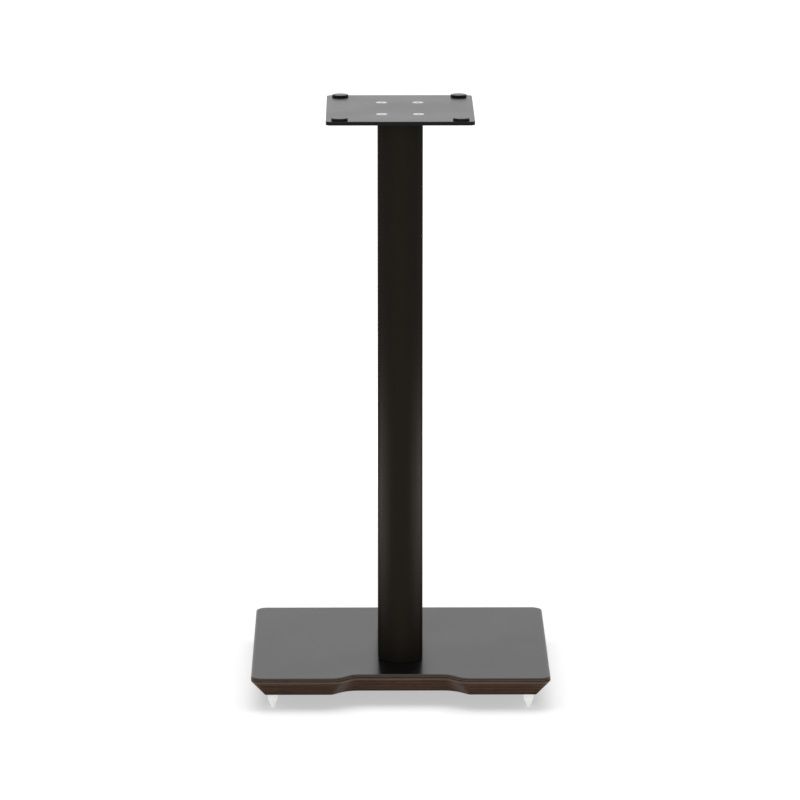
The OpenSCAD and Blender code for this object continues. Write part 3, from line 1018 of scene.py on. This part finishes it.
# %% Plinth
BEVEL_H = 16 * MM
BEVEL_IN = 14.5 * MM
LOW_EDGE_R = 1.2 * MM
HIGH_EDGE_R = 1.4 * MM
TOP_EDGE_R = 0.4 * MM
RECESS_R = 6.55 * MM
RECESS_DEEP = 9 * MM
INSERT_HOLE_R = 4.35 * MM
INSERT_DEEP = 13 * MM
WOOD_OVER_HOLE = 2.2 * MM
LOW_RIM_RADII = 2
PLINTH_STEPS = 6
# An edge mark below zero paints the lowest edge dark, as painted shade.
PAINTED_SHADE = -1
plinth_low, plinth_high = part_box("plinth")


def bore(centre, rows):
    """A stepped hole, as rows of radius and height from its mouth inwards."""
    radii, heights = zip(*rows)
    return lathe(centre, radii, heights)


bevel_top = plinth_low.z + BEVEL_H
plinth_edge = eased_profile(
    [
        (BEVEL_IN + LOW_RIM_RADII * LOW_EDGE_R, plinth_low.z), (BEVEL_IN, plinth_low.z),
        (0, bevel_top), (0, plinth_high.z), (RIM_RADII * TOP_EDGE_R, plinth_high.z),
    ],
    [0, LOW_EDGE_R, HIGH_EDGE_R, TOP_EDGE_R, 0],
    PLINTH_STEPS,
    worn_and_painted_light=[0, PAINTED_SHADE, 1, 1, 0],
)
bolt_seat = plinth_low.z + RECESS_DEEP
blind_end = plinth_high.z - WOOD_OVER_HOLE
bolt_hole_rows = [
    (RECESS_R, plinth_low.z), (RECESS_R, bolt_seat), (HOLE_R, bolt_seat), (HOLE_R, plinth_high.z),
]
bolt_holes = [bore(port, bolt_hole_rows) for port in PORTS]
insert_end = plinth_low.z + INSERT_DEEP
insert_hole_rows = [
    (INSERT_HOLE_R, plinth_low.z), (INSERT_HOLE_R, insert_end), (HOLE_R, insert_end),
    (HOLE_R, blind_end), (0, blind_end),
]
insert_holes = [bore(middle_of(f"spike_{name}"), insert_hole_rows) for name in CORNER_NAMES.values()]
make_part(
    "walnut_plinth", [carry(base_plan, plinth_edge)] + bolt_holes + insert_holes,
    WALNUT, "stand",
    flats=(plinth_low.z, plinth_high.z), replaces=["plinth"],
)

# %% [markdown]
# ## Bolts
#
# Four socket bolts and washers clamp the plinth and the sheet to the column from below. They sit in their
# recesses, out of sight from above. Each head has a knurled side and a hexagonal socket in its lower
# face. A bump in the finish could suggest the knurl, but the head's outline would stay smooth, so the
# radius itself ripples round the axis.

# %% Bolts
BOLT_HEAD_R = 5 * MM
BOLT_HEAD_H = 6 * MM
BOLT_SOCKET_FLATS = 5 * MM
BOLT_SOCKET_DEEP = 3 * MM
BOLT_EDGE = 0.4 * MM
KNURL_RIDGES = 24
KNURL_DEPTH = 0.12 * MM
bolts_low, bolts_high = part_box("column_bolts")


def knurled(radius):
    """A radius that ripples inwards by the knurl's depth, once for each ridge."""
    return radius - KNURL_DEPTH * (1 - np.cos(KNURL_RIDGES * ring_angles(AROUND))) / 2


def socket_bolt(port):
    """A bolt from the bottom of its socket, out over the knurled head and up the threaded shank."""
    bottom, top = bolts_low.z, bolts_high.z
    head_top = bottom + BOLT_HEAD_H
    hex_r = hexagon(BOLT_SOCKET_FLATS)
    threaded = top - head_top - SHANK_BEVEL - THREAD_PITCH
    shank, shank_heights = thread_rows(head_top + THREAD_PITCH, top - SHANK_BEVEL, threaded)
    socket = np.stack([0 * hex_r, hex_r, hex_r, hex_r + SOCKET_EASE])
    rims = around_rows([BOLT_HEAD_R - BOLT_EDGE])
    side = np.stack([knurled(BOLT_HEAD_R), knurled(BOLT_HEAD_R)])
    neck = around_rows([BOLT_HEAD_R - BOLT_EDGE, THREAD_R])
    end = around_rows([THREAD_R - SHANK_BEVEL, 0])
    radii = np.concatenate([socket, rims, side, neck, shank, end])
    socket_top = bottom + BOLT_SOCKET_DEEP
    heights = np.concatenate([
        [socket_top + DRILL_POINT, socket_top, bottom + SOCKET_EASE, bottom],
        [bottom],
        [bottom + BOLT_EDGE, head_top - BOLT_EDGE / 2],
        [head_top, head_top],
        shank_heights,
        [top, top],
    ])
    return lathe(port, radii, heights)


make_part(
    "socket_bolts", [socket_bolt(port) for port in PORTS],
    ZINC, "stand", replaces=["column_bolts"],
)

# %% [markdown]
# ## Locknuts
#
# A thin hexagonal nut locks each spike against the plinth. A nut's corners are turned off at both ends:
# the surface is the smaller of the hexagon and a cone that opens away from each face, which draws the
# curved chamfer lines of a real nut without cutting one solid by another. The same rings go on through
# the eased bore, and the last ring is the first one again, so the nut closes on itself.

# %% Locknuts
NUT_FLATS = 10 * MM
NUT_CHAMFER = 0.55 * MM
NUT_STEPS = 8
BORE_EASE = 0.4 * MM


def locknut(corner_name):
    """A nut: up the chamfered hexagon, in over the upper face, down the bore and out to the start."""
    low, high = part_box(f"locknut_{corner_name}")
    hex_r = hexagon(NUT_FLATS)
    corner_r = NUT_FLATS / 2 / cos(pi / 6)
    rise = np.linspace(0, NUT_CHAMFER, NUT_STEPS)
    side_heights = np.concatenate([low.z + rise, high.z - rise[::-1]])
    cone = corner_r - NUT_CHAMFER + np.concatenate([rise, rise[::-1]])
    side = np.minimum(hex_r[None, :], cone[:, None])
    hole = around_rows([PORT_R + BORE_EASE, PORT_R, PORT_R, PORT_R + BORE_EASE])
    radii = np.concatenate([side, hole, side[:1]])
    heights = np.concatenate([
        side_heights, [high.z, high.z - BORE_EASE, low.z + BORE_EASE, low.z], side_heights[:1],
    ])
    return lathe(middle_of(f"locknut_{corner_name}"), radii, heights)


for corner_name in CORNER_NAMES.values():
    make_part(
        f"hex_locknut_{corner_name}", [locknut(corner_name)],
        BRIGHT, f"locknut_{corner_name}", replaces=[f"locknut_{corner_name}"],
    )

# %% [markdown]
# ## Spikes
#
# A levelling spike is one turned part: a blunt cone, a tapered collar to grip, and a threaded stud. The
# thread's pitch is 1 mm, so a full turn moves the spike by 1 mm, and when it is screwed out its thread
# shows below the nut. The Screw modifier can wind a thread too, but its ends stay open and have to be
# closed by hand.

# %% Spikes
TIP_R = 1.3 * MM
CONE_R = 4.4 * MM
COLLAR_FOOT_R = 4.8 * MM
COLLAR_R = 5 * MM
COLLAR_H = 4 * MM
NUT_H = 3.2 * MM
SPIKE_EASE = 0.35 * MM


def levelling_spike(corner_name):
    """A spike from its blunt tip, up the cone, over the collar and up the stud to its bevelled end."""
    low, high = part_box(f"spike_{corner_name}")
    collar_top = plinth_low.z - NUT_H
    collar_low = collar_top - COLLAR_H
    body = eased_profile(
        [
            (0, low.z), (TIP_R, low.z), (CONE_R, collar_low), (COLLAR_FOOT_R, collar_low),
            (COLLAR_R, collar_top), (THREAD_R, collar_top),
        ],
        [0, SPIKE_EASE, SPIKE_EASE / 2, SPIKE_EASE, SPIKE_EASE, 0],
    )
    stud_low = collar_top + SHANK_BEVEL / 2
    stud_high = high.z - SHANK_BEVEL
    stud, stud_heights = thread_rows(stud_low, stud_high, stud_high - collar_top)
    radii = np.concatenate([around_rows(body[:, 0]), stud, around_rows([THREAD_R - SHANK_BEVEL, 0])])
    heights = np.concatenate([body[:, 1], stud_heights, [high.z, high.z]])
    worn_and_painted_light = np.concatenate([body[:, 2], np.zeros(len(stud_heights) + 2)])
    return lathe(middle_of(f"spike_{corner_name}"), radii, heights, worn_and_painted_light)


for corner_name in CORNER_NAMES.values():
    make_part(
        f"levelling_spike_{corner_name}", [levelling_spike(corner_name)],
        BRIGHT, f"spike_{corner_name}", replaces=[f"spike_{corner_name}"],
    )

# %% [markdown]
# ## Hidden hardware
#
# The washers and the brass inserts are plain rings that sit out of sight, and their shapes are right as
# they are. They keep the construction model's meshes and only take their finishes.

# %% Hidden hardware
hidden = [("bolt_washers", ZINC)] + [(f"insert_{name}", BRASS) for name in CORNER_NAMES.values()]
for node, finish in hidden:
    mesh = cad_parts[node].data
    mesh.materials.clear()
    mesh.materials.append(finish)
    print(node, "takes", finish.name)
